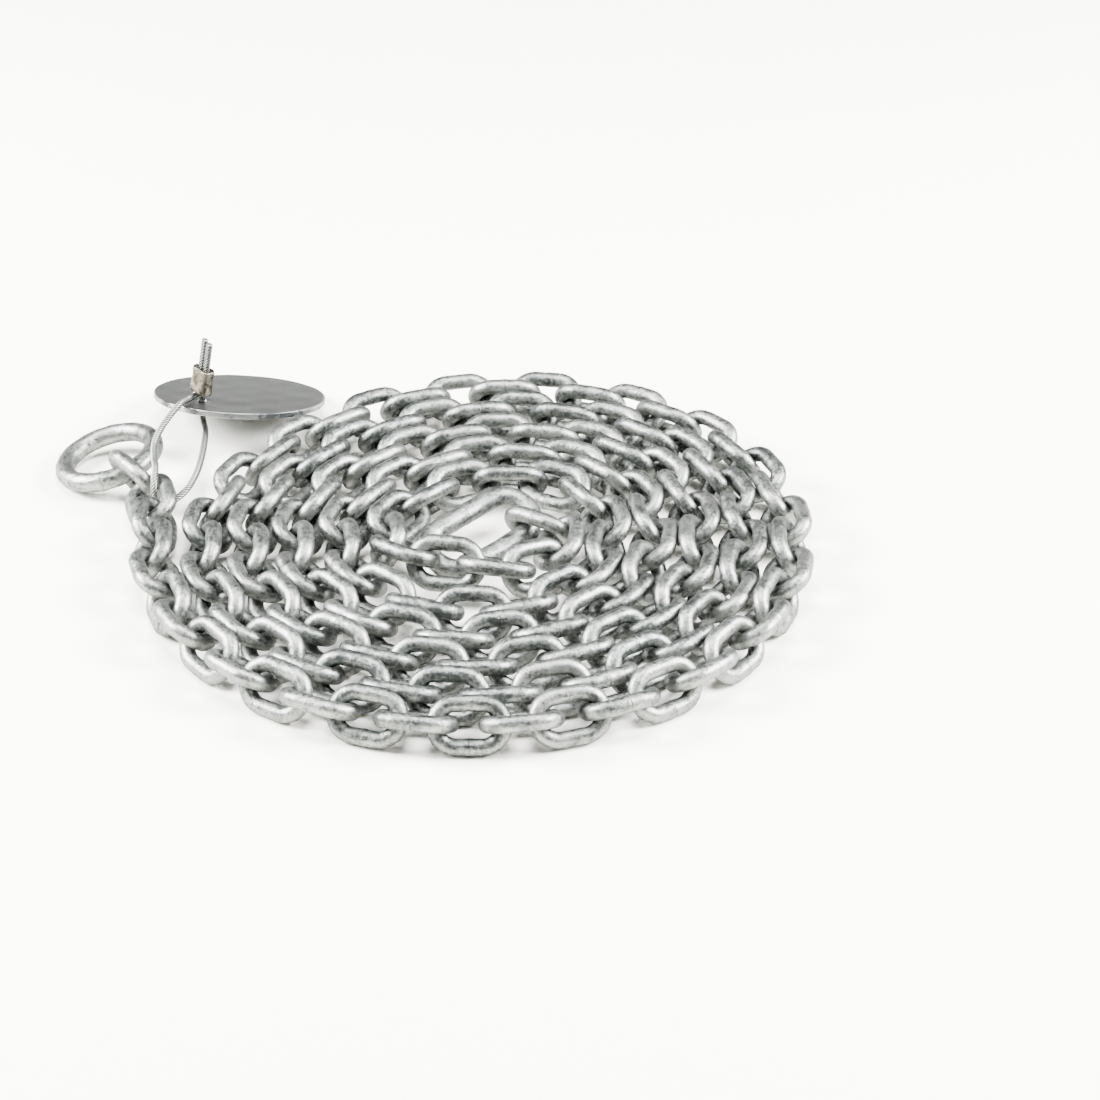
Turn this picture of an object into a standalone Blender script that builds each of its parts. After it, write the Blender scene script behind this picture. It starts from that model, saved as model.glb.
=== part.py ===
"""Coil of galvanised short-link chain with its end ring, oblong end link and disc tag.

Metres, +Z up. The chain lies flat on the floor as a spiral, one layer high, and winds inwards
counterclockwise from above. The outer end carries a round ring, and a wire-rope lanyard with a
crimped ferrule and a disc tag is threaded through the second link. The inner end carries a
longer oblong link. Neighbouring links stand at right angles, each about 45 degrees to the floor.
"""

import math

import bmesh
import bpy
import numpy as np
from mathutils import Matrix, Vector

MM = 0.001

# Short link, 8 mm nominal
ROD = 8.0 * MM
LINK_LENGTH = 39.6 * MM
LINK_WIDTH = 28.0 * MM
LINKS = 150
LINKS_PER_RUN = 3

# How far a link's end rod reaches past the joint point: it sinks into its neighbour inside a
# run, where the links are one solid, and keeps clear of it between two runs
REACH_JOINED = 3.8 * MM
REACH_FREE = 4.28 * MM
EASY_BEND = 15.0
REACH_PER_DEGREE = 0.03 * MM

# Spiral of the chain's axis, with radii measured from its own middle
SPIRAL_MIDDLE = (-32.75 * MM, -10.75 * MM)
OUTER_RADIUS = 161.75 * MM
TURN_STEP = 22.34 * MM
# The coil isn't quite round: it is flatter at the back left and fuller at the back right
FLATTER_BY = 6.0 * MM
FLATTER_AT = 135.0
FULLER_BY = 4.5 * MM
FULLER_AT = 45.0
UNEVEN_REACH = 60.0
SPIRAL_START = 197.0
SPIRAL_END = 1983.0
PATH_SPACING = 12.0 * MM

# Hand-chosen points of the axis at both ends of the spiral, outer end first, with how far they
# stand above the rest of the chain: near the inner end it climbs over the oblong link
TAIL_ROUTE = [
    (-219.3 * MM, 57.3 * MM, 0.0),
    (-211.2 * MM, 46.0 * MM, 0.0),
    (-203.6 * MM, 35.2 * MM, 0.0),
    (-199.3 * MM, 22.7 * MM, 0.0),
    (-198.4 * MM, 8.5 * MM, 0.0),
    (-197.2 * MM, -8.0 * MM, 0.0),
    (-195.8 * MM, -24.0 * MM, 0.0),
    (-192.6 * MM, -40.0 * MM, 0.0),
]
INNER_ROUTE = [
    (-77.2 * MM, -28.7 * MM, 4.9 * MM),
    (-58.4 * MM, -44.0 * MM, 8.0 * MM),
    (-36.4 * MM, -46.9 * MM, 7.8 * MM),
    (-18.2 * MM, -45.2 * MM, 4.1 * MM),
    (-3.6 * MM, -41.1 * MM, 0.6 * MM),
    (4.7 * MM, -27.9 * MM, 0.0),
    (7.9 * MM, -13.7 * MM, 0.7 * MM),
    (0.7 * MM, -1.0 * MM, 0.1 * MM),
    (-11.4 * MM, 5.0 * MM, 0.0),
    (-25.6 * MM, 6.4 * MM, 0.1 * MM),
]

# Roll of the links about the axis. A link whose inner edge is up stands at 45 degrees plus the
# lean, its neighbour, whose outer edge is up, at 45 degrees less the lean.
LEAN = 11.0
LEAN_PER_DEGREE = 0.12
TAIL_LEANS = [-21.0, -14.0, -4.0, 6.0]
LIFT_PER_DEGREE = 0.075 * MM

# Round end ring, raised on one side by the link that it hangs in. Both bearings are seen from
# the ring's middle.
RING_OUTSIDE = 58.0 * MM
RING_ROD = 10.0 * MM
RING_RAISED_AT = 0.0
RING_HOOKED_AT = -57.0
HOOK_GAP = 0.75 * MM

# Oblong end link, hooked through the last short link. Its length runs down along the heading
# and its left side is raised.
OBLONG_LENGTH = 69.2 * MM
OBLONG_WIDTH = 37.4 * MM
OBLONG_ROD = 10.4 * MM
OBLONG_MIDDLE = (-34.4 * MM, -4.7 * MM, 13.2 * MM)
OBLONG_HEADING = 220.2
OBLONG_TILT = 20.4
OBLONG_SLOPE = 8.0

# Disc tag, whose back edge rests on the floor while the lanyard holds up its front
TAG_DIAMETER = 91.0 * MM
TAG_THICKNESS = 3.0 * MM
TAG_HOLE = 5.8 * MM
TAG_MIDDLE = (-165.8 * MM, 129.5 * MM, 14.8 * MM)
TAG_NORMAL = (0.06, 0.286, 0.956)
TAG_HOLE_OFFSET = (-18.0 * MM, -19.2 * MM)
TAG_HOLE_LEAD = 2.0 * MM

# Wire-rope lanyard and its ferrule
WIRE = 3.6 * MM
WIRE_SPACING = 4.0 * MM
FERRULE_MIDDLE = (-182.6 * MM, 110.3 * MM, 35.6 * MM)
FERRULE_AXIS = (0.17, 0.05, 0.98)
FERRULE_ACROSS = (0.68, -0.73, 0.0)
FERRULE_LENGTH = 14.0 * MM
FERRULE_WIDTH = 12.6 * MM
FERRULE_THICKNESS = 8.4 * MM
CRIMP = 0.9
BORE_PLAY = 1.5 * MM
STRAIGHT_LEAD = 1.2 * MM
TAIL_LENGTHS = (16.0 * MM, 15.0 * MM)
LEFT_LEG = [
    (-187.5 * MM, 109.4 * MM, 26.5 * MM),
    (-190.0 * MM, 102.4 * MM, 28.4 * MM),
    (-192.4 * MM, 92.8 * MM, 31.4 * MM),
    (-197.0 * MM, 82.5 * MM, 30.0 * MM),
    (-201.0 * MM, 73.6 * MM, 27.2 * MM),
    (-203.0 * MM, 61.7 * MM, 25.2 * MM),
    (-201.8 * MM, 49.0 * MM, 24.2 * MM),
    (-200.2 * MM, 39.5 * MM, 24.0 * MM),
    (-200.3 * MM, 31.2 * MM, 21.4 * MM),
    (-200.2 * MM, 27.2 * MM, 13.4 * MM),
    (-198.2 * MM, 27.0 * MM, 10.8 * MM),
    (-194.0 * MM, 28.0 * MM, 10.2 * MM),
]
RIGHT_LEG = [
    (-188.6 * MM, 30.4 * MM, 12.2 * MM),
    (-184.0 * MM, 36.0 * MM, 14.4 * MM),
    (-181.0 * MM, 47.0 * MM, 15.6 * MM),
    (-179.8 * MM, 60.0 * MM, 16.0 * MM),
    (-179.6 * MM, 75.0 * MM, 15.8 * MM),
    (-180.4 * MM, 90.0 * MM, 15.4 * MM),
    (-182.6 * MM, 102.4 * MM, 15.6 * MM),
]

# Middle of the footprint of all the pieces, which becomes the origin
FOOTPRINT_MIDDLE = (-63.145 * MM, -2.632 * MM)

ROD_SIDES = 6
# A hexagon this much wider than the round rod comes close to its section
FACET_FIT = 1.03


def smooth_route(points, per_span=12):
    """Catmull-Rom curve through the points, as a dense array of points."""
    points = np.asarray(points, float)
    first = 2 * points[0] - points[1]
    last = 2 * points[-1] - points[-2]
    p = np.concatenate([[first], points, [last]])
    t = np.linspace(0, 1, per_span, endpoint=False)[:, None]
    spans = []
    for a, b, c, d in zip(p[:-3], p[1:-2], p[2:-1], p[3:]):
        bend = 2 * a - 5 * b + 4 * c - d
        twist = -a + 3 * b - 3 * c + d
        spans.append((2 * b + (c - a) * t + bend * t**2 + twist * t**3) / 2)
    return np.concatenate(spans + [points[-1:]])


def swell(angle, at):
    """Share of an unevenness at this angle: one where it is centred, none past its reach."""
    away = abs((angle - at + 180.0) % 360.0 - 180.0)
    if away > UNEVEN_REACH:
        return 0.0
    return math.cos(math.radians(90.0 * away / UNEVEN_REACH)) ** 2


def spiral():
    """Points of the spiral, whose radius falls by one step each turn."""
    points = []
    angle = SPIRAL_START
    while angle < SPIRAL_END:
        radius = OUTER_RADIUS - TURN_STEP * (angle - 180.0) / 360.0
        radius -= FLATTER_BY * swell(angle, FLATTER_AT)
        radius += FULLER_BY * swell(angle, FULLER_AT)
        turn = math.radians(angle)
        points.append(
            (
                SPIRAL_MIDDLE[0] + radius * math.cos(turn),
                SPIRAL_MIDDLE[1] + radius * math.sin(turn),
                0.0,
            )
        )
        angle += math.degrees(PATH_SPACING / radius)
    return points


def walk(route, spans):
    """Points along a dense route, each a straight span from the last one."""
    here = route[0]
    found = [here]
    at = 0
    for span in spans:
        while at < len(route) - 2 and np.linalg.norm(route[at + 1] - here) < span:
            at += 1
        step = route[at + 1] - route[at]
        back = route[at] - here
        a = step @ step
        b = 2 * back @ step
        c = back @ back - span**2
        here = route[at] + step * (-b + math.sqrt(b * b - 4 * a * c)) / (2 * a)
        found.append(here)
    return np.array(found)


def link_frames():
    """Middle, length direction and width direction of each link, outer end first."""
    route = smooth_route(TAIL_ROUTE + spiral() + INNER_ROUTE)
    route[:, 2] = np.maximum(route[:, 2], 0)
    rods = LINK_LENGTH - ROD
    free = np.arange(LINKS + 1) % LINKS_PER_RUN == 0
    reach = np.where(free, REACH_FREE, REACH_JOINED)
    # The second pass gives the sharper joints of the first one more room
    for _ in range(2):
        joints = walk(route, rods - reach[:-1] - reach[1:])
        along = np.diff(joints, axis=0)
        along /= np.linalg.norm(along, axis=1)[:, None]
        cosines = np.clip(np.sum(along[1:] * along[:-1], axis=1), -1, 1)
        bend = np.zeros(LINKS + 1)
        bend[1:-1] = np.degrees(np.arccos(cosines))
        extra = REACH_PER_DEGREE * np.clip(bend - EASY_BEND, 0, None)
        reach = np.where(free, REACH_FREE + extra, REACH_JOINED - extra / 4)
    link_bend = (bend[:-1] + bend[1:]) / 2
    leans = LEAN + LEAN_PER_DEGREE * link_bend
    leans[: len(TAIL_LEANS)] = TAIL_LEANS
    frames = []
    for i in range(LINKS):
        outer_up = i % 2 == 0
        roll = math.radians(leans[i] - 45.0 if outer_up else leans[i] + 45.0)
        inward = np.array([-along[i, 1], along[i, 0], 0.0])
        inward /= np.linalg.norm(inward)
        across = inward * math.cos(roll) + np.cross(along[i], inward) * math.sin(roll)
        half_width = (LINK_WIDTH - ROD) / 2
        resting = half_width * math.sin(math.radians(45.0 + LEAN))
        height = facet_radius(ROD) + max(resting, half_width * abs(math.sin(roll)))
        if outer_up:
            height += LIFT_PER_DEGREE * link_bend[i]
        middle = joints[i] + along[i] * (rods / 2 - reach[i])
        middle[2] += height
        frames.append((middle, along[i], across))
    return frames


def facet_radius(rod):
    """Distance from the middle of a faceted rod to its flats."""
    return rod / 2 * FACET_FIT * math.cos(math.pi / ROD_SIDES)


def link_corners(length, width, rod):
    """Corners of a link's centreline: a long octagon that its true outline touches inside."""
    half_length = (length - rod) / 2
    half_width = (width - rod) / 2
    cut = half_width * (2 - math.sqrt(2))
    right = [(half_length, half_width - cut), (half_length - cut, half_width)]
    left = [(-x, y) for x, y in reversed(right)]
    upper = right + left
    return upper + [(-x, -y) for x, y in upper]


def ring_corners(outside, rod, sides=16):
    """Corners of a ring's centreline, a polygon around its true circle."""
    radius = (outside - rod) / 2 / math.cos(math.pi / sides)
    angles = [(i + 0.5) * math.tau / sides for i in range(sides)]
    return [(radius * math.cos(a), radius * math.sin(a)) for a in angles]


def bent_rod(name, corners, rod, middle, along, across, first_flat):
    """Mesh of a faceted rod bent round a closed outline, mitred at each corner.

    first_flat is the angle from the outward direction to the middle of a flat.
    """
    normal = np.cross(along, across)
    corners = np.array(corners)
    before = corners - np.roll(corners, 1, axis=0)
    after = np.roll(corners, -1, axis=0) - corners
    before /= np.linalg.norm(before, axis=1)[:, None]
    after /= np.linalg.norm(after, axis=1)[:, None]
    tangent = before + after
    tangent /= np.linalg.norm(tangent, axis=1)[:, None]
    outward = np.column_stack([tangent[:, 1], -tangent[:, 0]])
    mitre = 1 / np.sum(tangent * after, axis=1)
    radius = rod / 2 * FACET_FIT
    verts = []
    for corner, out, stretch in zip(corners, outward, mitre):
        for k in range(ROD_SIDES):
            turn = math.radians(first_flat) + (k + 0.5) * math.tau / ROD_SIDES
            flat = corner + out * radius * math.cos(turn) * stretch
            place = middle + along * flat[0] + across * flat[1]
            verts.append(place + normal * radius * math.sin(turn))
    count = len(corners)
    faces = []
    for i in range(count):
        for k in range(ROD_SIDES):
            a = i * ROD_SIDES + k
            b = i * ROD_SIDES + (k + 1) % ROD_SIDES
            c = (i + 1) % count * ROD_SIDES + (k + 1) % ROD_SIDES
            d = (i + 1) % count * ROD_SIDES + k
            faces.append((a, d, c, b))
    mesh = bpy.data.meshes.new(name)
    mesh.from_pydata([tuple(v) for v in verts], [], faces)
    return mesh


def link_mesh(name, frame):
    """Mesh of one short link, turned so that flats of its lower side face the floor."""
    middle, along, across = frame
    steepness = math.degrees(math.asin(abs(across[2])))
    corners = link_corners(LINK_LENGTH, LINK_WIDTH, ROD)
    return bent_rod(name, corners, ROD, middle, along, across, steepness - 90.0)


def place(name, mesh, material, parent):
    """New object for the mesh, smooth-shaded, its sides kept sharp."""
    mesh.materials.clear()
    mesh.materials.append(material)
    mesh.shade_smooth()
    mesh.set_sharp_from_angle(angle=math.radians(50))
    item = bpy.data.objects.new(name, mesh)
    item.parent = parent
    bpy.context.collection.objects.link(item)
    return item


def joined(name, meshes):
    """One mesh, the Boolean union of all the meshes."""
    scratch = [bpy.data.objects.new(f"{name}_{i}", mesh) for i, mesh in enumerate(meshes)]
    for item in scratch:
        bpy.context.collection.objects.link(item)
    for other in scratch[1:]:
        union = scratch[0].modifiers.new("Join", "BOOLEAN")
        union.operation = "UNION"
        union.object = other
    bpy.context.view_layer.update()
    graph = bpy.context.evaluated_depsgraph_get()
    mesh = bpy.data.meshes.new_from_object(scratch[0].evaluated_get(graph))
    for item in scratch:
        bpy.data.objects.remove(item)
    mesh.name = name
    return mesh


def metal(name, colour, roughness, metallic=1.0):
    """Principled metal."""
    material = bpy.data.materials.new(name)
    material.use_nodes = True
    shader = material.node_tree.nodes["Principled BSDF"]
    shader.inputs["Base Color"].default_value = (*colour, 1.0)
    shader.inputs["Roughness"].default_value = roughness
    shader.inputs["Metallic"].default_value = metallic
    return material


def build_chain(frames, material, parent):
    """The chain in short runs, the links of each run one solid where they bear on each other."""
    for run, first in enumerate(range(0, len(frames), LINKS_PER_RUN), start=1):
        name = f"chain_run_{run:02d}"
        part = frames[first : first + LINKS_PER_RUN]
        meshes = [link_mesh(f"{name}_link_{i}", frame) for i, frame in enumerate(part)]
        place(name, joined(name, meshes), material, parent)


def ring_frame(first_link):
    """Middle and directions of the ring, and its slope, as the first short link holds it."""
    middle, along, _ = first_link
    clear = (ROD + RING_ROD) / 2 + HOOK_GAP
    hook = middle - along * ((LINK_LENGTH - ROD) / 2 - clear)
    radius = (RING_OUTSIDE - RING_ROD) / 2
    turn = math.radians(RING_HOOKED_AT - RING_RAISED_AT)
    rise = (hook[2] - facet_radius(RING_ROD)) / (1 + math.cos(turn))
    slope = math.asin(rise / radius)
    bearing = math.radians(RING_RAISED_AT)
    toward = np.array([math.cos(bearing), math.sin(bearing), 0.0])
    sideways = np.array([-toward[1], toward[0], 0.0])
    toward = toward * math.cos(slope) + np.array([0.0, 0.0, math.sin(slope)])
    rim = (toward * math.cos(turn) + sideways * math.sin(turn)) * radius
    return hook - rim, toward, sideways, slope


def build_ring(first_link, material, parent):
    """Round end ring."""
    middle, along, across, slope = ring_frame(first_link)
    corners = ring_corners(RING_OUTSIDE, RING_ROD)
    first_flat = math.degrees(slope) - 90.0
    mesh = bent_rod("end_ring", corners, RING_ROD, middle, along, across, first_flat)
    place("end_ring", mesh, material, parent)


def oblong_frame():
    """Length and width directions of the oblong link."""
    heading = math.radians(OBLONG_HEADING)
    slope = math.radians(OBLONG_SLOPE)
    tilt = math.radians(OBLONG_TILT)
    level = np.array([-math.sin(heading), math.cos(heading), 0.0])
    ahead = np.array([math.cos(heading), math.sin(heading), 0.0])
    length = ahead * math.cos(slope) - np.array([0.0, 0.0, math.sin(slope)])
    across = level * math.cos(tilt) - np.cross(length, level) * math.sin(tilt)
    return length, across


def build_oblong(material, parent):
    """Longer end link at the middle of the coil."""
    along, across = oblong_frame()
    corners = link_corners(OBLONG_LENGTH, OBLONG_WIDTH, OBLONG_ROD)
    middle = np.array(OBLONG_MIDDLE)
    mesh = bent_rod("oblong_end_link", corners, OBLONG_ROD, middle, along, across, 0.0)
    place("oblong_end_link", mesh, material, parent)


def tag_hole_middle():
    """Middle of the tag's hole, on the tag's middle plane."""
    normal = Vector(TAG_NORMAL).normalized()
    x, y = TAG_HOLE_OFFSET
    z = -(normal.x * x + normal.y * y) / normal.z
    return Vector(TAG_MIDDLE) + Vector((x, y, z))


def build_tag(material, parent):
    """Flat disc with one hole for the lanyard."""
    turn = Vector((0, 0, 1)).rotation_difference(Vector(TAG_NORMAL)).to_matrix().to_4x4()
    sizes = (
        (Vector(TAG_MIDDLE), TAG_DIAMETER, TAG_THICKNESS, 40),
        (tag_hole_middle(), TAG_HOLE, 4 * TAG_THICKNESS, 12),
    )
    solids = []
    for middle, diameter, depth, sides in sizes:
        form = bmesh.new()
        bmesh.ops.create_cone(
            form,
            cap_ends=True,
            segments=sides,
            radius1=diameter / 2,
            radius2=diameter / 2,
            depth=depth,
            matrix=Matrix.Translation(middle) @ turn,
        )
        mesh = bpy.data.meshes.new("tag_form")
        form.to_mesh(mesh)
        form.free()
        solids.append(mesh)
    tag = place("disc_tag", solids[0], material, parent)
    drill = bpy.data.objects.new("tag_drill", solids[1])
    drill.hide_render = True
    drill.display_type = "WIRE"
    drill.parent = parent
    bpy.context.collection.objects.link(drill)
    cut = tag.modifiers.new("Hole", "BOOLEAN")
    cut.operation = "DIFFERENCE"
    cut.object = drill


def ferrule_axes():
    """Length, width and thickness directions of the ferrule."""
    length = Vector(FERRULE_AXIS).normalized()
    thickness = length.cross(Vector(FERRULE_ACROSS)).normalized()
    return length, thickness.cross(length), thickness


def oval(width, thickness, per_end=6):
    """Outline with straight sides and round ends, as pairs in width and thickness."""
    radius = thickness / 2
    straight = width / 2 - radius
    points = []
    for side in (1, -1):
        for k in range(per_end):
            turn = math.radians(-90 + 180 * k / (per_end - 1))
            across = side * (straight + radius * math.cos(turn))
            points.append((across, side * radius * math.sin(turn)))
    return points


def build_ferrule(material, parent):
    """Crimped oval sleeve that both parts of the wire rope pass through."""
    length, width, thickness = ferrule_axes()
    middle = Vector(FERRULE_MIDDLE)
    bore = oval(WIRE_SPACING + WIRE + BORE_PLAY, WIRE + BORE_PLAY)
    stations = ((-0.5, 1.0), (-0.3, 1.0), (-0.2, CRIMP), (0.2, CRIMP), (0.3, 1.0), (0.5, 1.0))
    form = bmesh.new()
    loops = []
    for share, scale in stations:
        outline = oval(FERRULE_WIDTH * scale, FERRULE_THICKNESS * scale)
        loops.append((share, outline))
    for share in (0.5, -0.5):
        loops.append((share, bore))
    rings = []
    for share, outline in loops:
        here = middle + length * FERRULE_LENGTH * share
        rings.append([form.verts.new(here + width * a + thickness * b) for a, b in outline])
    for lower, upper in zip(rings, rings[1:] + rings[:1]):
        count = len(lower)
        for k in range(count):
            n = (k + 1) % count
            form.faces.new((lower[k], lower[n], upper[n], upper[k]))
    bmesh.ops.recalc_face_normals(form, faces=form.faces)
    mesh = bpy.data.meshes.new("lanyard_ferrule")
    form.to_mesh(mesh)
    form.free()
    place("lanyard_ferrule", mesh, material, parent)


def wire_route():
    """Route of the wire rope from one cut end round through link and tag to the other."""
    length, width, _ = ferrule_axes()
    middle = Vector(FERRULE_MIDDLE)
    half = FERRULE_LENGTH / 2
    left = middle - width * WIRE_SPACING / 2
    right = middle + width * WIRE_SPACING / 2
    lift = Vector(TAG_NORMAL).normalized() * TAG_HOLE_LEAD
    hole = tag_hole_middle()
    points = [left + length * (half + TAIL_LENGTHS[0]), left + length * half]
    points += [left, left - length * half, left - length * (half + STRAIGHT_LEAD)]
    points += [Vector(p) for p in LEFT_LEG + RIGHT_LEG]
    points += [hole - lift, hole + lift]
    points += [right - length * (half + STRAIGHT_LEAD), right - length * half]
    points += [right, right + length * half]
    points += [right + length * (half + TAIL_LENGTHS[1])]
    return points


def build_wire(material, parent):
    """Wire rope as one tube from cut end to cut end."""
    route = smooth_route([tuple(p) for p in wire_route()], per_span=2)
    curve = bpy.data.curves.new("lanyard_wire", "CURVE")
    curve.dimensions = "3D"
    curve.bevel_depth = WIRE / 2
    curve.bevel_resolution = 2
    curve.use_fill_caps = True
    spline = curve.splines.new("POLY")
    spline.points.add(len(route) - 1)
    for point, at in zip(spline.points, route):
        point.co = (*at, 1.0)
    curve.materials.append(material)
    wire = bpy.data.objects.new("lanyard_wire", curve)
    wire.parent = parent
    bpy.context.collection.objects.link(wire)


def main():
    """Build every piece under one empty that puts the origin under the coil's middle."""
    for item in list(bpy.data.objects):
        bpy.data.objects.remove(item)
    coil = bpy.data.objects.new("chain_coil", None)
    coil.location = (-FOOTPRINT_MIDDLE[0], -FOOTPRINT_MIDDLE[1], 0.0)
    bpy.context.collection.objects.link(coil)

    galvanised = metal("galvanised_steel", (0.55, 0.56, 0.57), 0.42)
    rolled = metal("zinc_plated_sheet", (0.48, 0.49, 0.50), 0.38)
    pressed = metal("pressed_aluminium", (0.62, 0.59, 0.57), 0.4)
    stranded = metal("wire_rope", (0.5, 0.51, 0.52), 0.45)

    frames = link_frames()
    build_chain(frames, galvanised, coil)
    build_ring(frames[0], galvanised, coil)
    build_oblong(galvanised, coil)
    build_tag(rolled, coil)
    build_ferrule(pressed, coil)
    build_wire(stranded, coil)


main()
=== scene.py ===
"""Looks of a coil of galvanised short-link chain with its end ring, oblong link and disc tag.

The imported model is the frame. Each run of the chain is made anew with round links, in the places
that the same layout rules give, and so are the ring, the oblong link, the tag, the wire-rope
lanyard and its ferrule. Metres, +Z up, the origin on the floor under the middle of the footprint.
"""

from __future__ import annotations

import logging
import math
from dataclasses import dataclass, field
from enum import Enum
from typing import Any

import bpy
import numpy as np
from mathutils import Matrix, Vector
from numpy.typing import NDArray

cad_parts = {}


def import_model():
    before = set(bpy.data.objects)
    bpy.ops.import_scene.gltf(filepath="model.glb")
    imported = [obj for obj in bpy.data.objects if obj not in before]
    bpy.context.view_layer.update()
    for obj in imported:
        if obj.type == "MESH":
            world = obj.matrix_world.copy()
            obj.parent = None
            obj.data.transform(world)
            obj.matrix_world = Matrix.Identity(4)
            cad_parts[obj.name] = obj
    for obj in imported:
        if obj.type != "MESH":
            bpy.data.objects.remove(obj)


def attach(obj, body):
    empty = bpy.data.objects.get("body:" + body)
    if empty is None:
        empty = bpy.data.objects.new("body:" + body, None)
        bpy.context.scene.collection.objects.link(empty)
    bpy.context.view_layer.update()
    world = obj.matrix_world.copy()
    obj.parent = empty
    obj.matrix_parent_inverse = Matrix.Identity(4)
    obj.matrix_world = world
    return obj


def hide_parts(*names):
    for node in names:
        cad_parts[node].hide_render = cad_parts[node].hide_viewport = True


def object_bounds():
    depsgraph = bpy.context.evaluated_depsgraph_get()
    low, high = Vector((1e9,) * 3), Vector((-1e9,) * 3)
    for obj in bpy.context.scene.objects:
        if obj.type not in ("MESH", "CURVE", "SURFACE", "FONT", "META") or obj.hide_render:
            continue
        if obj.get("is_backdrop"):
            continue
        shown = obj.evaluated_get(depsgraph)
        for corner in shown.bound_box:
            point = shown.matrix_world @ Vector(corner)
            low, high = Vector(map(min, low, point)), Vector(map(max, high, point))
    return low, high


Grid = NDArray[np.float64]
Tree = bpy.types.NodeTree
Socket = bpy.types.NodeSocket
Material = bpy.types.Material
log = logging.getLogger("chain_coil")

MM = 0.001
ROOT = "root"
# From the layout's own frame, with its origin where the camera aims, to the row frame
SHIFT = np.array([63.145 * MM, 2.632 * MM, 0.0])
# Added to a rod's seed for its smaller lumps, past every other seed
SMALL_SEED = 7919
ROPE_DIAMETER = 3.6 * MM
ROPE_STRANDS = 6
# Shortest and longest wave of a relief, as shares of its size
WAVE_RANGE = (0.7, 1.5)
# Settings of a smooth step, and of a mix of two colours
SMOOTH = {"interpolation_type": "SMOOTHSTEP"}
COLOURS = {"out": 2, "data_type": "RGBA"}


class Slot(Enum):
    """Material slots of the record."""

    GALVANISED = "galvanised_steel"
    SHEET = "zinc_plated_sheet"
    PRESSED = "pressed_aluminium"
    ROPE = "wire_rope"


def linear(colour: str) -> tuple[float, float, float, float]:
    """Turn an sRGB hex colour into the linear one that shaders take.

    Args:
        colour: hex colour such as "#A0B0C0".

    Returns:
        Red, green, blue and an alpha of one.
    """
    parts = []
    for start in (1, 3, 5):
        value = int(colour[start : start + 2], 16) / 255
        parts.append(value / 12.92 if value <= 0.04045 else ((value + 0.055) / 1.055) ** 2.4)
    return (parts[0], parts[1], parts[2], 1.0)


def feed(node: bpy.types.Node, sockets: dict | tuple) -> None:
    """Set or link the inputs of a node.

    Args:
        node: the node.
        sockets: what each input gets, a value or the output that feeds it, by the input's name or
            number, or in the order of the inputs.
    """
    for name, value in sockets.items() if isinstance(sockets, dict) else enumerate(sockets):
        if isinstance(value, Socket):
            node.id_data.links.new(value, node.inputs[name])
        else:
            node.inputs[name].default_value = value


def add(tree: Tree, kind: str, sockets: dict | tuple = (), out: int | str = 0, **settings: Any) -> Socket:
    """Add one node with its settings, values and links.

    Args:
        tree: node tree that gets the node.
        kind: the node's type name without its ShaderNode prefix.
        sockets: what each input gets, by name or number, or in order.
        out: name or number of the output wanted.
        settings: the node's own properties.

    Returns:
        The new node's output.
    """
    node = tree.nodes.new("ShaderNode" + kind)
    for name, value in settings.items():
        setattr(node, name, value)
    feed(node, sockets)
    return node.outputs[out]


def blank(name: str, metallic: float = 1.0) -> tuple[Material, Tree, bpy.types.Node]:
    """Start a material with one Principled shader.

    Args:
        name: name of the material.
        metallic: its metallic value.

    Returns:
        The material, its node tree and the shader.
    """
    material = bpy.data.materials.new(name)
    material.use_nodes = True
    shader = material.node_tree.nodes["Principled BSDF"]
    feed(shader, {"Metallic": metallic})
    return material, material.node_tree, shader


def stand(name: str, data: bpy.types.ID) -> bpy.types.Object:
    """Put something into the scene.

    Args:
        name: name of the object.
        data: its mesh, light or camera.

    Returns:
        The new object.
    """
    item = bpy.data.objects.new(name, data)
    bpy.context.scene.collection.objects.link(item)
    return item


def chart(u: Grid, v: Grid) -> Grid:
    """UV coordinates of a grid, from those of its rows and of its columns."""
    return np.stack(np.meshgrid(u, v, indexing="ij"), axis=-1)


def unit(rows: Grid) -> Grid:
    """Rows scaled to length one."""
    return rows / np.linalg.norm(rows, axis=-1, keepdims=True)


def smooth_route(points: Grid, per_span: int) -> Grid:
    """Smooth cubic curve through points, each with a slope that its neighbours give.

    A span from b to c, with a before and d after it, is (2b + (c - a)t + (2a - 5b + 4c - d)t^2 +
    (3b - a - 3c + d)t^3) / 2 for t from 0 to 1.

    Args:
        points: the points, one in each row.
        per_span: number of samples between two points.

    Returns:
        Dense points, the last of which is the last point given.
    """
    first = 2 * points[0] - points[1]
    last = 2 * points[-1] - points[-2]
    p = np.concatenate([[first], points, [last]])
    a, b, c, d = (p[k : len(p) - 3 + k, None, :] for k in range(4))
    t = np.linspace(0, 1, per_span, endpoint=False)[None, :, None]
    bend = 2 * a - 5 * b + 4 * c - d
    twist = -a + 3 * b - 3 * c + d
    spans = (2 * b + (c - a) * t + bend * t**2 + twist * t**3) / 2
    return np.concatenate([spans.reshape(-1, 3), points[-1:]])


def ripple(points: Grid, size: float, seed: int, waves: int = 9) -> Grid:
    """Smooth random relief in space, about one in height.

    It is the sum of plane waves sin(k.p + phase), whose directions and phases come from the seed
    and whose lengths lie around the size given, scaled so that its spread is near one.

    Args:
        points: points in space, in the last axis.
        size: wave length in metres.
        seed: seed of the directions and phases.
        waves: number of waves.

    Returns:
        One value for each point.
    """
    draw = np.random.default_rng(seed)
    directions = unit(draw.normal(size=(waves, 3)))
    lengths = size * draw.uniform(*WAVE_RANGE, waves)
    phases = draw.uniform(0, math.tau, waves)
    angles = points @ (directions * (math.tau / lengths)[:, None]).T + phases
    return np.sin(angles).sum(axis=-1) * math.sqrt(2 / waves)


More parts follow.
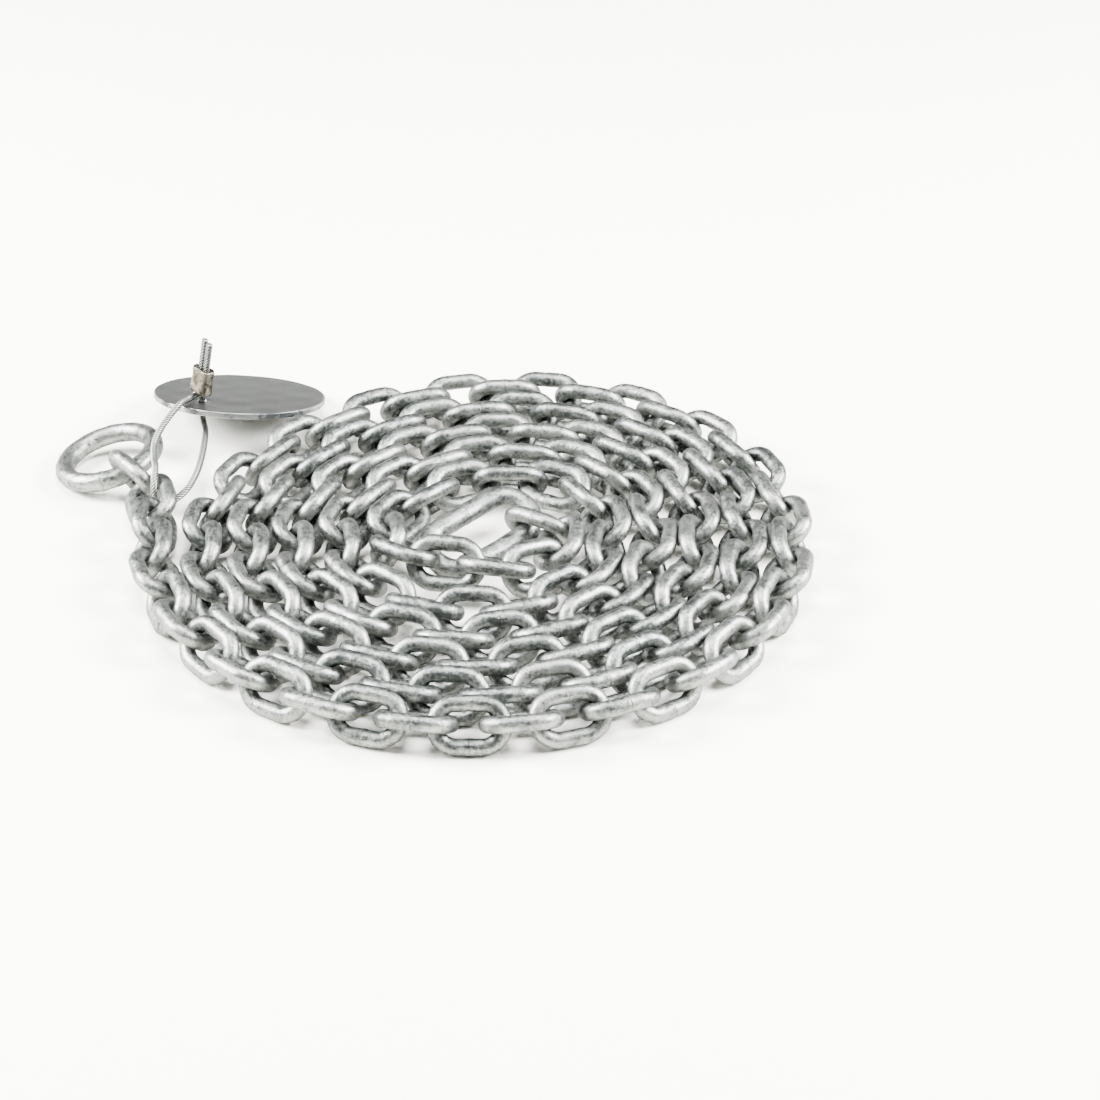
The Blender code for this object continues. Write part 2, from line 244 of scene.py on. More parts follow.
@dataclass
class Skin:
    """Surface over two parameters: along a path, and around it.

    Attributes:
        points: positions, along by around by 3.
        across: UV coordinates of the grid's corners, with one more row and column than points
            where the surface closes on itself in that direction.
        closed: whether the path comes back to its start.
        tone: random shade of this surface, from -1 to 1.
    """

    points: Grid
    across: Grid
    closed: bool
    tone: float = 0.0


def mesh_of(name: str, skins: list[Skin]) -> bpy.types.Mesh:
    """Join surfaces into one mesh with a UV map and a tone attribute.

    Each grid cell is a four-sided face. The grid always closes around its path, and an open path
    gets a flat cap on each end.

    Args:
        name: name of the mesh.
        skins: the surfaces.

    Returns:
        The mesh, shaded smooth.
    """
    points, quads, uvs, tones, caps = [], [], [], [], []
    count = 0
    for skin in skins:
        rows, around, _ = skin.points.shape
        index = np.arange(rows * around).reshape(rows, around) + count
        ahead = np.roll(index, -1, axis=0)
        beside = np.roll(index, -1, axis=1)
        corner = np.roll(ahead, -1, axis=1)
        last = rows if skin.closed else rows - 1
        quads.append(np.stack([index, ahead, corner, beside], axis=-1)[:last].reshape(-1, 4))
        a = skin.across
        cells = np.stack([a[:-1, :-1], a[1:, :-1], a[1:, 1:], a[:-1, 1:]], axis=2)
        uvs.append(cells[:last].reshape(-1, 2))
        tones.append(np.full(rows * around, skin.tone))
        points.append(skin.points.reshape(-1, 3))
        if not skin.closed:
            caps += [index[0].tolist(), index[-1][::-1].tolist()]
        count += rows * around
    faces = np.concatenate(quads).tolist() + caps
    mesh = bpy.data.meshes.new(name)
    mesh.from_pydata(np.concatenate(points), [], faces)
    layer = mesh.uv_layers.new(name="rod")
    flat = np.concatenate(uvs).ravel()
    filled = np.zeros(2 * len(mesh.loops))
    filled[: len(flat)] = flat
    layer.data.foreach_set("uv", filled)
    tone = mesh.attributes.new("tone", "FLOAT", "POINT")
    tone.data.foreach_set("value", np.concatenate(tones))
    mesh.shade_smooth()
    mesh.update()
    return mesh


def place(name: str, mesh: bpy.types.Mesh, material: Material, slot: Slot, *nodes: str) -> bpy.types.Object:
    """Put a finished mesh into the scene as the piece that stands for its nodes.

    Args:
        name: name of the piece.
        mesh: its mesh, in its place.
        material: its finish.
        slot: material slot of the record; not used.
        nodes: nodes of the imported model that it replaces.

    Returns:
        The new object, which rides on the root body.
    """
    mesh.materials.append(material)
    piece = stand(name, mesh)
    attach(piece, ROOT)
    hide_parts(*nodes)
    log.info("%s: %d faces", name, len(mesh.polygons))
    return piece


@dataclass(frozen=True)
class Stance:
    """Where a link stands: its middle, its length direction and its width direction."""

    middle: Grid
    along: Grid
    across: Grid


@dataclass
class RodLoop:
    """Round rod bent into a closed loop with straight sides and half-round ends, and welded."""

    length: float
    width: float
    rod: float
    rings: int = 72
    sides: int = 18
    lump: float = 0.04 * MM
    lump_sizes: tuple[float, float] = (5.5 * MM, 2.6 * MM)
    small_share: float = 0.6
    weld_bulge: float = 0.22 * MM
    weld_reach: float = 1.6 * MM

    def centreline(self) -> tuple[Grid, Grid, Grid]:
        """Sample the loop evenly, from the middle of one straight side round to it again.

        With s along the loop, half a straight side h and end radius r, the angle that the
        direction has turned through is 0 on the first half side, (s - h) / r on the first end, and
        so on. A point is the integral of the direction, written out for each of the five
        stretches.

        Returns:
            Points in the loop's plane, outward directions, and distances along the loop.
        """
        radius = (self.width - self.rod) / 2
        half = (self.length - self.width) / 2
        end = math.pi * radius
        total = 4 * half + 2 * end
        s = np.arange(self.rings) / self.rings * total
        # Fold the second half of the loop onto the first, turned by half a turn
        second = s >= total / 2
        t = np.where(second, s - total / 2, s)
        turn = np.clip((t - half) / radius, 0, math.pi)
        x = np.where(t < half, t, half + radius * np.sin(turn))
        x = np.where(t > half + end, half - (t - half - end), x)
        y = -radius * np.cos(turn)
        outward = np.column_stack([np.sin(turn), -np.cos(turn)])
        sign = np.where(second, -1.0, 1.0)[:, None]
        return np.column_stack([x, y]) * sign, outward * sign, s

    def skin(self, stance: Stance, seed: int, flip: bool = False) -> Skin:
        """Surface of the rod, with the weld's bulge in the middle of one side and small lumps.

        A point is the centreline plus radius * (outward * cos(a) + normal * sin(a)), and the
        radius is half the rod, plus a bell curve at the weld, plus a smooth random relief.

        Args:
            stance: where the loop stands.
            seed: seed of the lumps and of the tone.
            flip: whether the weld is on the other straight side.

        Returns:
            The closed surface. Its UV map runs in metres along the rod from the weld, and around
            it.
        """
        flat, outward, s = self.centreline()
        across = -stance.across if flip else stance.across
        along = -stance.along if flip else stance.along
        normal = np.cross(stance.along, stance.across)
        middle = stance.middle + flat[:, :1] * along + flat[:, 1:] * across
        out = outward[:, :1] * along + outward[:, 1:] * across
        angle = np.arange(self.sides) / self.sides * math.tau
        total = s[-1] * self.rings / (self.rings - 1)
        from_weld = np.minimum(s, total - s)
        radius = self.rod / 2 + self.weld_bulge * np.exp(-((from_weld / self.weld_reach) ** 2))
        ring = (
            out[:, None, :] * np.cos(angle)[None, :, None]
            + normal[None, None, :] * np.sin(angle)[None, :, None]
        )
        points = middle[:, None, :] + ring * radius[:, None, None]
        broad, small = self.lump_sizes
        rough = ripple(points, broad, seed) + self.small_share * ripple(points, small, seed + SMALL_SEED)
        points = points + ring * (self.lump * rough)[:, :, None]
        # No lump reaches below the floor
        points[:, :, 2] = np.maximum(points[:, :, 2], 0.0)
        u = np.append(s, total)
        u = np.where(u > total / 2, u - total, u)
        v = np.arange(self.sides + 1) / self.sides * math.tau * self.rod / 2
        tone = float(np.random.default_rng(seed).uniform(-1, 1))
        return Skin(points, chart(u, v), closed=True, tone=tone)


@dataclass
class ChainLayout:
    """Place of each link, from the same rules and sizes as the solids.

    Attributes are in metres and degrees, and the two routes in millimetres, in the layout's own
    frame.
    """

    rod: float = 8.0 * MM
    length: float = 39.6 * MM
    width: float = 28.0 * MM
    links: int = 150
    per_run: int = 3
    reach_joined: float = 3.8 * MM
    reach_free: float = 4.28 * MM
    easy_bend: float = 15.0
    reach_per_degree: float = 0.03 * MM
    joined_give: float = 0.25
    passes: int = 2
    spiral_middle: tuple[float, float] = (-32.75 * MM, -10.75 * MM)
    outer_radius: float = 161.75 * MM
    turn_step: float = 22.34 * MM
    flatter: tuple[float, float] = (6.0 * MM, 135.0)
    fuller: tuple[float, float] = (4.5 * MM, 45.0)
    uneven_reach: float = 60.0
    spiral_start: float = 197.0
    spiral_end: float = 1983.0
    path_spacing: float = 12.0 * MM
    # Links stand by turns this much to one side and to the other
    stand_angle: float = 45.0
    lean: float = 11.0
    lean_per_degree: float = 0.12
    tail_leans: tuple[float, ...] = (-21.0, -14.0, -4.0, 6.0)
    lift_per_degree: float = 0.075 * MM
    even_joints: float = 0.32 * MM
    tail_route: tuple[tuple[float, float, float], ...] = (
        (-219.3, 57.3, 0.0),
        (-211.2, 46.0, 0.0),
        (-203.6, 35.2, 0.0),
        (-199.3, 22.7, 0.0),
        (-198.4, 8.5, 0.0),
        (-197.2, -8.0, 0.0),
        (-195.8, -24.0, 0.0),
        (-192.6, -40.0, 0.0),
    )
    inner_route: tuple[tuple[float, float, float], ...] = (
        (-77.2, -28.7, 4.9),
        (-58.4, -44.0, 8.0),
        (-36.4, -46.9, 7.8),
        (-18.2, -45.2, 4.1),
        (-3.6, -41.1, 0.6),
        (4.7, -27.9, 0.0),
        (7.9, -13.7, 0.7),
        (0.7, -1.0, 0.1),
        (-11.4, 5.0, 0.0),
        (-25.6, 6.4, 0.1),
    )

    def swell(self, angle: float, at: float) -> float:
        """Share of an unevenness, the square of a cosine that falls to nought at its reach.

        Args:
            angle: angle around the spiral.
            at: angle of the unevenness's middle.

        Returns:
            One in the middle and nought past the reach.
        """
        away = abs((angle - at + 180.0) % 360.0 - 180.0)
        if away > self.uneven_reach:
            return 0.0
        return math.cos(math.radians(90.0 * away / self.uneven_reach)) ** 2

    def spiral(self) -> Grid:
        """Lay out the spiral, whose radius falls by one step each turn.

        At the angle a it is the outer radius, less the step times (a - 180) / 360, less the flatter
        unevenness and plus the fuller one.

        Returns:
            Its points, an even spacing apart, level with the floor.
        """
        points = []
        angle = self.spiral_start
        while angle < self.spiral_end:
            radius = self.outer_radius - self.turn_step * (angle - 180.0) / 360.0
            radius -= self.flatter[0] * self.swell(angle, self.flatter[1])
            radius += self.fuller[0] * self.swell(angle, self.fuller[1])
            turn = math.radians(angle)
            x = self.spiral_middle[0] + radius * math.cos(turn)
            y = self.spiral_middle[1] + radius * math.sin(turn)
            points.append((x, y, 0.0))
            angle += math.degrees(self.path_spacing / radius)
        return np.array(points)

    def walk(self, route: Grid, spans: Grid) -> Grid:
        """Points along a dense route, each a straight span from the one before.

        Each is where the route leaves the sphere with the span as radius around the one before,
        which is a quadratic equation on one step of the route.

        Args:
            route: dense points.
            spans: straight distances.

        Returns:
            The joints of the chain, one more than there are spans.
        """
        here = route[0]
        found = [here]
        at = 0
        for span in spans:
            while at < len(route) - 2 and np.linalg.norm(route[at + 1] - here) < span:
                at += 1
            step = route[at + 1] - route[at]
            back = route[at] - here
            a = step @ step
            b = 2 * back @ step
            c = back @ back - span**2
            here = route[at] + step * (-b + math.sqrt(b * b - 4 * a * c)) / (2 * a)
            found.append(here)
        return np.array(found)

    def stances(self) -> list[Stance]:
        """Work out where each link stands, outer end first.

        Joints are as far apart as a link's end rods, less the reach at both of its ends, which
        changes with the bend. A link is rolled about its length by the stand angle and its lean, and
        is as high as its lower side needs.

        Returns:
            The links' stances in the row frame. In a run of the solids the links sink into each
            other and clear the next run's, so here the first and last link of a run move a little
            outwards, and every joint then just touches.
        """
        ends = [np.array(part) * MM for part in (self.tail_route, self.inner_route)]
        route = smooth_route(np.concatenate([ends[0], self.spiral(), ends[1]]), per_span=12)
        route[:, 2] = np.maximum(route[:, 2], 0)
        rods = self.length - self.rod
        free = np.arange(self.links + 1) % self.per_run == 0
        reach = np.where(free, self.reach_free, self.reach_joined)
        for _ in range(self.passes):
            joints = self.walk(route, rods - reach[:-1] - reach[1:])
            along = unit(np.diff(joints, axis=0))
            cosines = np.clip(np.sum(along[1:] * along[:-1], axis=1), -1, 1)
            bend = np.zeros(self.links + 1)
            bend[1:-1] = np.degrees(np.arccos(cosines))
            extra = self.reach_per_degree * np.clip(bend - self.easy_bend, 0, None)
            reach = np.where(free, self.reach_free + extra, self.reach_joined - extra * self.joined_give)
        link_bend = (bend[:-1] + bend[1:]) / 2
        leans = self.lean + self.lean_per_degree * link_bend
        leans[: len(self.tail_leans)] = self.tail_leans
        outer_up = np.arange(self.links) % 2 == 0
        roll = np.radians(leans + np.where(outer_up, -self.stand_angle, self.stand_angle))
        inward = unit(np.column_stack([-along[:, 1], along[:, 0], np.zeros(self.links)]))
        across = inward * np.cos(roll)[:, None] + np.cross(along, inward) * np.sin(roll)[:, None]
        half_width = (self.width - self.rod) / 2
        resting = half_width * math.sin(math.radians(self.stand_angle + self.lean))
        height = self.rod / 2 + np.maximum(resting, half_width * np.abs(np.sin(roll)))
        height += np.where(outer_up, self.lift_per_degree * link_bend, 0.0)
        middle = joints[:-1] + along * (rods / 2 - reach[:-1])[:, None]
        middle[:, 2] += height
        apart = np.resize([-1.0, 0.0, 1.0], self.links)[:, None] * self.even_joints
        middle = middle + along * apart + SHIFT
        return [Stance(m, a, c) for m, a, c in zip(middle, along, across)]


@dataclass(frozen=True)
class HotDipZinc:
    """Hot-dip galvanised steel, dipped in molten zinc and left to freeze.

    That gives a light satin grey with broad cloudy patches, dull specks where dross or bare alloy
    shows, and a skin of small lumps and pits. The specks are a little under 1 mm, coarser than the
    finest real ones, which a render at this distance can't show.
    """

    light: str = "#838682"
    dark: str = "#4E5250"
    dull: str = "#2A2F2D"
    # Size, detail and harshness of three noises
    patch: tuple[float, float, float] = (8.0 * MM, 3.0, 0.5)
    mottle: tuple[float, float, float] = (1.7 * MM, 5.0, 0.62)
    speck: tuple[float, float, float] = (0.8 * MM, 3.0, 0.55)
    streak: float = 1.6 * MM
    streak_squeeze: float = 0.17
    mottle_share: float = 0.5
    streak_share: float = 0.22
    tone_reach: float = 0.035
    # Where a mask, or the noise behind the roughness, begins and ends, and the values there where
    # they aren't nought and one
    light_limits: tuple[float, ...] = (0.41, 0.56)
    speck_limits: tuple[float, ...] = (0.36, 0.43, 1.0, 0.0)
    dull_limits: tuple[float, ...] = (0.42, 0.56)
    rough_limits: tuple[float, ...] = (0.35, 0.65, 0.34, 0.5)
    seam_limits: tuple[float, ...] = (0.2 * MM, 0.55 * MM, 1.0, 0.0)
    dull_share: float = 0.6
    seam_waver: float = 1.6 * MM
    seam_share: float = 0.4
    seam_dip: float = -0.8
    fine_share: float = 0.5
    edge: tuple[float, ...] = (0.6, 0.6, 0.6, 1.0)
    relief: float = 0.42 * MM
    relief_strength: float = 0.8

    def material(self) -> Material:
        """Build the material.

        Returns:
            A Principled metal whose colour, roughness and bump follow three sizes of noise on
            Object coordinates, the tone attribute, and the distance to the weld in the UV map.
        """
        material, tree, shader = blank("hot_dip_galvanised_steel")
        at = add(tree, "TexCoord", out="Object")
        along = add(tree, "UVMap", uv_map="rod")
        tone = add(tree, "Attribute", out="Fac", attribute_name="tone")
        patches, mottle, specks = (
            add(tree, "TexNoise", {"Vector": at, "Scale": 1 / size, "Detail": detail, "Roughness": harsh})
            for size, detail, harsh in (self.patch, self.mottle, self.speck)
        )
        # Faint runs of zinc: noise stretched about six times along the rod
        stretched = add(tree, "Mapping", {"Vector": along, "Scale": (self.streak_squeeze, 1.0, 1.0)})
        streaks = add(tree, "TexNoise", {"Vector": stretched, "Scale": 1 / self.streak, "Detail": 2.0})
        cloud = add(tree, "Mix", {0: self.mottle_share, 2: patches, 3: mottle})
        cloud = add(tree, "Mix", {0: self.streak_share, 2: cloud, 3: streaks})
        shifted = add(tree, "Math", (tone, self.tone_reach, cloud), operation="MULTIPLY_ADD")
        share = add(tree, "MapRange", (shifted, *self.light_limits), **SMOOTH)
        colour = add(tree, "Mix", {0: share, 6: linear(self.dark), 7: linear(self.light)}, **COLOURS)
        dots = add(tree, "MapRange", (specks, *self.speck_limits), **SMOOTH)
        where = add(tree, "MapRange", (patches, *self.dull_limits), **SMOOTH)
        dots = add(tree, "Math", (dots, where), operation="MULTIPLY")
        dots = add(tree, "Math", (dots, self.dull_share), operation="MULTIPLY")
        colour = add(tree, "Mix", {0: dots, 6: colour, 7: linear(self.dull)}, **COLOURS)
        seam = self.seam(tree, along, mottle)
        colour = add(tree, "Mix", {0: seam, 6: colour, 7: linear(self.dull)}, **COLOURS)
        rough = add(tree, "MapRange", (mottle, *self.rough_limits))
        fine = add(tree, "Mix", {0: self.fine_share, 2: mottle, 3: specks})
        dip = add(tree, "Math", (seam, self.seam_dip, fine), operation="MULTIPLY_ADD")
        sockets = {"Height": dip, "Strength": self.relief_strength, "Distance": self.relief}
        bump = add(tree, "Bump", sockets)
        feed(shader, {"Base Color": colour, "Roughness": rough, "Normal": bump, "Specular Tint": self.edge})
        return material

    def seam(self, tree: Tree, along: Socket, waver: Socket) -> Socket:
        """Thin dark line of the butt weld, where the distance along the rod is near nought.

        Args:
            tree: node tree of the finish.
            along: the rod's UV map.
            waver: noise that makes the line wander.

        Returns:
            How much of the dull colour shows.
        """
        distance = add(tree, "SeparateXYZ", (along,))
        moved = add(tree, "Math", (waver, self.seam_waver, distance), operation="MULTIPLY_ADD")
        # The noise has its middle at a half, so that much of its waver is taken off again
        centred = add(tree, "Math", (moved, self.seam_waver / 2), operation="SUBTRACT")
        away = add(tree, "Math", (centred,), operation="ABSOLUTE")
        line = add(tree, "MapRange", (away, *self.seam_limits), **SMOOTH)
        return add(tree, "Math", (line, self.seam_share), operation="MULTIPLY")


@dataclass(frozen=True)
class RolledSheet:
    """Zinc-plated steel sheet, punched into a disc.

    Rolling and plating leave a flat satin grey with a faint grain, and handling adds fine
    scratches. The edge is brighter, where the punch burnished it.
    """

    face: str = "#666969"
    pale: str = "#6E7171"
    rim: str = "#999B9A"
    rim_dark: str = "#4E5152"
    scratch_light: str = "#B4B6B6"
    cloud: float = 14.0 * MM
    grain: float = 0.9 * MM
    grain_share: float = 0.3
    pale_limits: tuple[float, ...] = (0.4, 0.62)
    rim_limits: tuple[float, ...] = (0.42, 0.5)
    rough_limits: tuple[float, ...] = (0.3, 0.7, 0.3, 0.44)
    # Direction in radians and width of three sets of scratches
    scratches: tuple[tuple[float, float], ...] = ((0.4, 1.7 * MM), (1.8, 2.2 * MM), (2.7, 1.4 * MM))
    scratch_stretch: float = 9.0
    scratch_limits: tuple[float, ...] = (0.73, 0.79)
    scratch_share: float = 0.4
    edge: tuple[float, ...] = (0.3, 0.3, 0.3, 1.0)
    relief: float = 0.1 * MM
    relief_strength: float = 0.2

    def material(self) -> Material:
        """Build the material.

        Returns:
            A Principled metal with clouds and short thin scratches on Object coordinates, and the
            burnished rim where the UV map's first number is one.
        """
        material, tree, shader = blank("zinc_plated_sheet_steel")
        at = add(tree, "TexCoord", out="Object")
        sockets = {"Vector": at, "Scale": 1 / self.cloud, "Detail": 4.0, "Roughness": 0.6}
        clouds = add(tree, "TexNoise", sockets)
        grain = add(tree, "TexNoise", {"Vector": at, "Scale": 1 / self.grain, "Detail": 2.0})
        satin = add(tree, "Mix", {0: self.grain_share, 2: clouds, 3: grain})
        share = add(tree, "MapRange", (satin, *self.pale_limits), **SMOOTH)
        colour = add(tree, "Mix", {0: share, 6: linear(self.face), 7: linear(self.pale)}, **COLOURS)
        lines = self.scratched(tree, at)
        faint = add(tree, "Math", (lines, self.scratch_share), operation="MULTIPLY")
        colour = add(tree, "Mix", {0: faint, 6: colour, 7: linear(self.scratch_light)}, **COLOURS)
        burnish = add(tree, "MapRange", (clouds, *self.rim_limits), **SMOOTH)
        rim = add(tree, "Mix", {0: burnish, 6: linear(self.rim_dark), 7: linear(self.rim)}, **COLOURS)
        on_rim = add(tree, "SeparateXYZ", (add(tree, "UVMap", uv_map="rod"),))
        colour = add(tree, "Mix", {0: on_rim, 6: colour, 7: rim}, **COLOURS)
        rough = add(tree, "MapRange", (clouds, *self.rough_limits))
        cut = add(tree, "Math", (lines, -1.0, clouds), operation="MULTIPLY_ADD")
        sockets = {"Height": cut, "Strength": self.relief_strength, "Distance": self.relief}
        bump = add(tree, "Bump", sockets)
        feed(shader, {"Base Color": colour, "Roughness": rough, "Normal": bump, "Specular Tint": self.edge})
        return material

    def scratched(self, tree: Tree, at: Socket) -> Socket:
        """Mask of the scratches: the peaks of noise stretched in each set's direction.

        Args:
            tree: node tree of the finish.
            at: the place on the tag.

        Returns:
            One in the middle of a scratch and nought between scratches.
        """
        lines = None
        for turn, width in self.scratches:
            stretch = {"Vector": at, "Rotation": (0, 0, turn), "Scale": (self.scratch_stretch, 1, 1)}
            mapped = add(tree, "Mapping", stretch, vector_type="TEXTURE")
            peaks = add(tree, "TexNoise", {"Vector": mapped, "Scale": 1 / width, "Detail": 1.0})
            thin = add(tree, "MapRange", (peaks, *self.scratch_limits), **SMOOTH)
            lines = thin if lines is None else add(tree, "Math", (lines, thin), operation="MAXIMUM")
        return lines


@dataclass(frozen=True)
class PressedAluminium:
    """Soft aluminium ferrule, crimped in a tool.

    The jaws smear it: a satin silver with a warm cast, in smears of a lighter and a darker tone.
    """

    light: str = "#6C675C"
    dark: str = "#3C362B"
    smear: float = 3.2 * MM
    light_limits: tuple[float, ...] = (0.38, 0.6)
    roughness: float = 0.42
    relief: float = 0.25 * MM
    relief_strength: float = 0.4

    def material(self) -> Material:
        """Build the material.

        Returns:
            A Principled metal with smears of two tones on Object coordinates.
        """
        material, tree, shader = blank("pressed_aluminium")
        at = add(tree, "TexCoord", out="Object")
        sockets = {"Vector": at, "Scale": 1 / self.smear, "Detail": 4.0, "Roughness": 0.6}
        smears = add(tree, "TexNoise", sockets)
        share = add(tree, "MapRange", (smears, *self.light_limits), **SMOOTH)
        colour = add(tree, "Mix", {0: share, 6: linear(self.dark), 7: linear(self.light)}, **COLOURS)
        sockets = {"Height": smears, "Strength": self.relief_strength, "Distance": self.relief}
        bump = add(tree, "Bump", sockets)
        feed(shader, {"Base Color": colour, "Roughness": self.roughness, "Normal": bump})
        return material


@dataclass(frozen=True)
class DrawnWire:
    """Galvanised drawn wire, laid up in strands.

    The strands keep the light colour and painted shade darkens the grooves between them, so the rope looks
    finely ribbed.
    """

    light: str = "#8D8F8A"
    # Colour of the painted shade in the grooves between strands
    dark: str = "#2B2E2C"
    mottle: float = 2.5 * MM
    mottle_share: float = 0.12
    # Where the painted shade of the grooves fades into the ridges' light colour, on |cos| around the rope
    groove_shade_limits: tuple[float, ...] = (0.3, 0.95)
    roughness: float = 0.4
    edge: tuple[float, ...] = (0.5, 0.5, 0.5, 1.0)

    def material(self) -> Material:
        """Build the material.

        The UV map's second number v runs around the rope in metres and turns with the strands, so
        with d the rope's diameter |cos(strands v / d)| is one on a strand's ridge and nought in a
        groove.

        Returns:
            A Principled metal with painted shade in the grooves, and a faint mottle.
        """
        material, tree, shader = blank("drawn_wire_strands")
        at = add(tree, "TexCoord", out="Object")
        clouds = add(tree, "TexNoise", {"Vector": at, "Scale": 1 / self.mottle, "Detail": 3.0})
        around = add(tree, "SeparateXYZ", (add(tree, "UVMap", uv_map="rod"),), out=1)
        turned = add(tree, "Math", (around, ROPE_STRANDS / ROPE_DIAMETER), operation="MULTIPLY")
        wave = add(tree, "Math", (turned,), operation="COSINE")
        ridge = add(tree, "Math", (wave,), operation="ABSOLUTE")
        # Painted shade: the dark colour fills the grooves between strands and the light one the ridges
        outside_groove_shade = add(tree, "MapRange", (ridge, *self.groove_shade_limits), **SMOOTH)
        share = add(tree, "Mix", {0: self.mottle_share, 2: outside_groove_shade, 3: clouds})
        colour = add(tree, "Mix", {0: share, 6: linear(self.dark), 7: linear(self.light)}, **COLOURS)
        feed(shader, {"Base Color": colour, "Roughness": self.roughness, "Specular Tint": self.edge})
        return material


@dataclass
class Camera:
    """Camera of the photograph, in front of the coil and looking down at it."""

    aim: tuple[float, float, float] = tuple(SHIFT)
    elevation: float = 32.5
    distance: float = 1.504
    lens: float = 98.31
    sensor: float = 36.0

    def build(self) -> None:
        """Make the camera and use it for the scene."""
        data = bpy.data.cameras.new("camera")
        data.lens = self.lens
        data.sensor_width = self.sensor
        item = stand("camera", data)
        tilt = math.radians(self.elevation)
        item.location = (
            self.aim[0],
            self.aim[1] - self.distance * math.cos(tilt),
            self.aim[2] + self.distance * math.sin(tilt),
        )
        item.rotation_euler = (math.pi / 2 - tilt, 0, 0)
        bpy.context.scene.camera = item


@dataclass(frozen=True)
class SoftBox:
    """Square studio light: its name, where it stands, its width and its power."""

    name: str
    at: tuple[float, float, float]
    width: float
    power: float

    def build(self) -> None:
        """Make the light, aimed at the coil."""
        data = bpy.data.lights.new(self.name, "AREA")
        data.size = self.width
        data.energy = self.power
        item = stand(self.name, data)
        item.location = self.at
        item.rotation_euler = (-Vector(self.at)).to_track_quat("-Z", "Y").to_euler()


@dataclass
class Studio:
    """Pale floor, pale surroundings and soft boxes."""

    floor_half: float = 4.0
    floor_colour: str = "#FBF9F1"
    floor_roughness: float = 0.9
    air: str = "#ECEDEC"
    air_strength: float = 0.5
    boxes: tuple[SoftBox, ...] = (
        SoftBox("soft_box_over", (0.0, -0.1, 1.9), 0.8, 120.0),
        SoftBox("soft_box_left", (-1.5, 0.1, 1.0), 0.75, 290.0),
        SoftBox("soft_box_right", (1.5, 0.0, 1.0), 0.75, 270.0),
    )

    def build(self) -> None:
        """Make the floor, the surroundings and the lights."""
        half = self.floor_half
        mesh = bpy.data.meshes.new("floor")
        corners = [(-half, -half, 0), (half, -half, 0), (half, half, 0), (-half, half, 0)]
        mesh.from_pydata(corners, [], [(0, 1, 2, 3)])
        material, _, shader = blank("matt_floor", metallic=0.0)
        feed(shader, {"Base Color": linear(self.floor_colour), "Roughness": self.floor_roughness})
        mesh.materials.append(material)
        floor = stand("floor", mesh)
        floor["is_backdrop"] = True
        world = bpy.data.worlds.new("pale_room")
        world.use_nodes = True
        feed(world.node_tree.nodes["Background"], (linear(self.air), self.air_strength))
        bpy.context.scene.world = world
        for box in self.boxes:
            box.build()


@dataclass
class Chain:
    """The short links, one piece for each run of the solids.

    A chain dropped by hand isn't quite even, so each link is rolled, turned and moved a little from
    where the layout puts it.
    """

    finish: Material
    layout: ChainLayout = field(default_factory=ChainLayout)
    roll_spread: float = 2.0
    turn_spread: float = 1.0
    place_spread: float = 0.175 * MM
    seed: int = 11
    first_link_seed: int = 100

    def nudge(self, stance: Stance, draw: np.random.Generator) -> Stance:
        """Move one link a little.

        Args:
            stance: where the layout puts it.
            draw: source of the random angles and distances, whose standard deviations are the
                spreads, in degrees and metres.

        Returns:
            The stance, rolled about its length, turned about the vertical and moved level.
        """
        roll = math.radians(draw.normal(0, self.roll_spread))
        turn = math.radians(draw.normal(0, self.turn_spread))
        normal = np.cross(stance.along, stance.across)
        across = stance.across * math.cos(roll) + normal * math.sin(roll)
        c, s = math.cos(turn), math.sin(turn)
        turned = np.array([[c, -s, 0.0], [s, c, 0.0], [0.0, 0.0, 1.0]])
        move = np.append(draw.normal(0, self.place_spread, 2), 0.0)
        return Stance(stance.middle + move, turned @ stance.along, turned @ across)

    def build(self) -> None:
        """Make each run's links where the layout puts them."""
        form = RodLoop(self.layout.length, self.layout.width, self.layout.rod)
        draw = np.random.default_rng(self.seed)
        stances = [self.nudge(stance, draw) for stance in self.layout.stances()]
        flips = draw.random(len(stances)) < 0.5
        for first in range(0, len(stances), self.layout.per_run):
            run = first // self.layout.per_run + 1
            numbers = range(first, first + self.layout.per_run)
            skins = [form.skin(stances[i], self.first_link_seed + i, bool(flips[i])) for i in numbers]
            name = f"chain_links_{run:02d}"
            place(name, mesh_of(name, skins), self.finish, Slot.GALVANISED, f"chain_run_{run:02d}")


